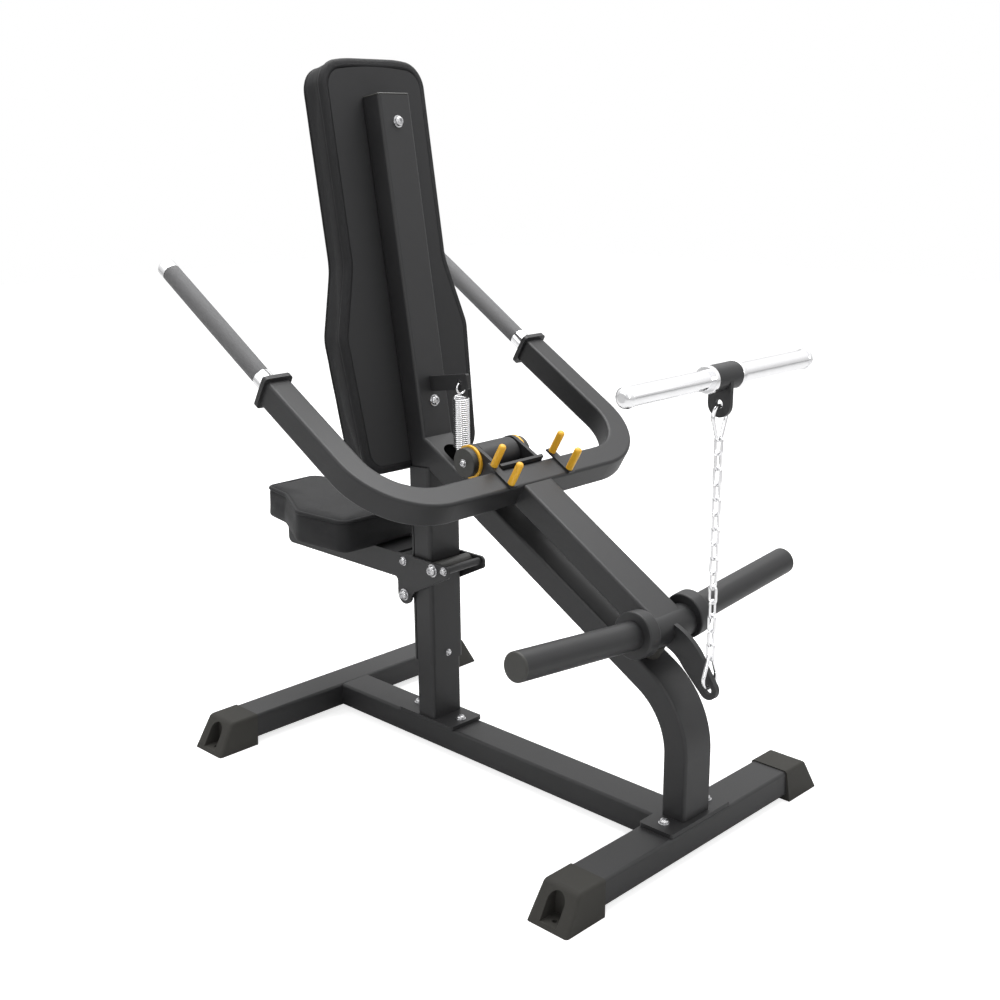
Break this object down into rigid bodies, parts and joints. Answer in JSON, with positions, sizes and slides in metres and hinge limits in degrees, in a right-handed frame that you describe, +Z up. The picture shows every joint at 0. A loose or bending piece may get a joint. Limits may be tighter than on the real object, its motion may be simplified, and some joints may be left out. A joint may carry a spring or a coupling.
{
  "type": "lat pulldown machine",
  "caption": "Plate-loaded seated dip and pull machine: a padded seat and back on a floor frame, a hinged U lever with handles and weight pegs, and a pull bar on a chain.",
  "frame": {"origin": "on the floor, in the middle of the machine's length and width", "axes": "+Z up; +X to the seated user's left; +Y rearward, from the seat towards the weight pegs"},
  "size_m": [0.7378, 1.1676, 1.3435],
  "materials": {
    "powder_coat": "fine-grained black-grey powder coat",
    "black_rubber": "matte moulded rubber",
    "grip_foam": "matte foam sleeve",
    "moulded_plastic": "matte dark grey moulded plastic",
    "chrome": "bright chrome plate",
    "bright_steel": "bright drawn steel",
    "yellow_plastic": "yellow moulded plastic",
    "upholstery": "black grained synthetic leather",
    "board": "plywood board under black cloth"
  },
  "bodies": {
    "frame": {"front_crossbar": "powder_coat", "rear_crossbar": "powder_coat", "base_rail": "powder_coat", "foot_front_left": "black_rubber", "foot_front_right": "black_rubber", "foot_rear_left": "black_rubber", "foot_rear_right": "black_rubber", "post_stub": "powder_coat", "post_sleeve": "powder_coat", "upper_post": "powder_coat", "post_cap": "moulded_plastic", "main_beam": "powder_coat", "beam_plate": "powder_coat", "frame_bolts": "chrome", "stop_bumper": "black_rubber", "pivot_housing": "powder_coat", "pivot_bushes": "moulded_plastic", "housing_cheeks": "powder_coat", "spring_tab": "powder_coat", "return_spring": "chrome", "backpad_board": "board", "backpad_cushion": "upholstery"},
    "lever": {"lever_bracket": "powder_coat", "spring_lug": "powder_coat", "u_frame": "powder_coat", "lever_arm": "powder_coat", "pivot_shaft": "bright_steel", "hub_bolts": "chrome", "weight_tube": "powder_coat", "tail_plate": "powder_coat", "foam_grip_left": "grip_foam", "foam_grip_right": "grip_foam", "weight_peg_left": "powder_coat", "weight_peg_right": "powder_coat", "hub_rings": "yellow_plastic", "hub_caps": "moulded_plastic", "arm_flanges": "powder_coat", "handle_tubes": "bright_steel", "handle_collars": "chrome", "grip_caps": "chrome", "stop_collars": "powder_coat", "weight_caps": "moulded_plastic", "cradle_straps": "powder_coat", "cradle_pegs": "yellow_plastic"},
    "seat_carriage": {"carriage_plates": "powder_coat", "carriage_web": "powder_coat", "carriage_cross_tubes": "powder_coat", "carriage_bolts": "chrome", "roller_axles": "chrome", "seat_board": "board", "seat_cushion": "upholstery"},
    "rear_roller": {"rear_roller": "moulded_plastic"},
    "front_roller": {"front_roller": "moulded_plastic"},
    "chain": {"snap_hooks": "chrome", "chain_links": "chrome", "swivel_sleeve": "powder_coat"},
    "bar": {"pull_bar": "chrome", "bar_fittings": "chrome"}
  },
  "joints": [
    {"name": "lever_hinge", "type": "hinge", "parent": "frame", "child": "lever", "pos_m": [0, 0.04925, 0.635], "axis": [1, 0, 0], "range_deg": [0, 50], "deforming": ["return_spring"]},
    {"name": "seat_slide", "type": "slide", "parent": "frame", "child": "seat_carriage", "axis": [0, 0, 1], "range_m": [-0.1, 0.06]},
    {"name": "rear_roller_spin", "type": "hinge", "parent": "seat_carriage", "child": "rear_roller", "pos_m": [0, -0.06855, 0.396], "axis": [1, 0, 0], "range_deg": [-400, 250]},
    {"name": "front_roller_spin", "type": "hinge", "parent": "seat_carriage", "child": "front_roller", "pos_m": [0, -0.15365, 0.327], "axis": [1, 0, 0], "range_deg": [-310, 510]},
    {"name": "chain_swing", "type": "hinge", "parent": "lever", "child": "chain", "pos_m": [0, 0.56125, 0.314], "axis": [1, 0, 0], "range_deg": [-50, 0]},
    {"name": "bar_spin", "type": "hinge", "parent": "chain", "child": "bar", "pos_m": [0, 0.56125, 0.846], "axis": [1, 0, 0], "continuous": true}
  ],
  "couplings": [
    {"joint": "rear_roller_spin", "follows": "seat_slide", "rad_per_m": 66.667},
    {"joint": "front_roller_spin", "follows": "seat_slide", "rad_per_m": -85.47},
    {"joint": "chain_swing", "follows": "lever_hinge", "ratio": -1}
  ]
}
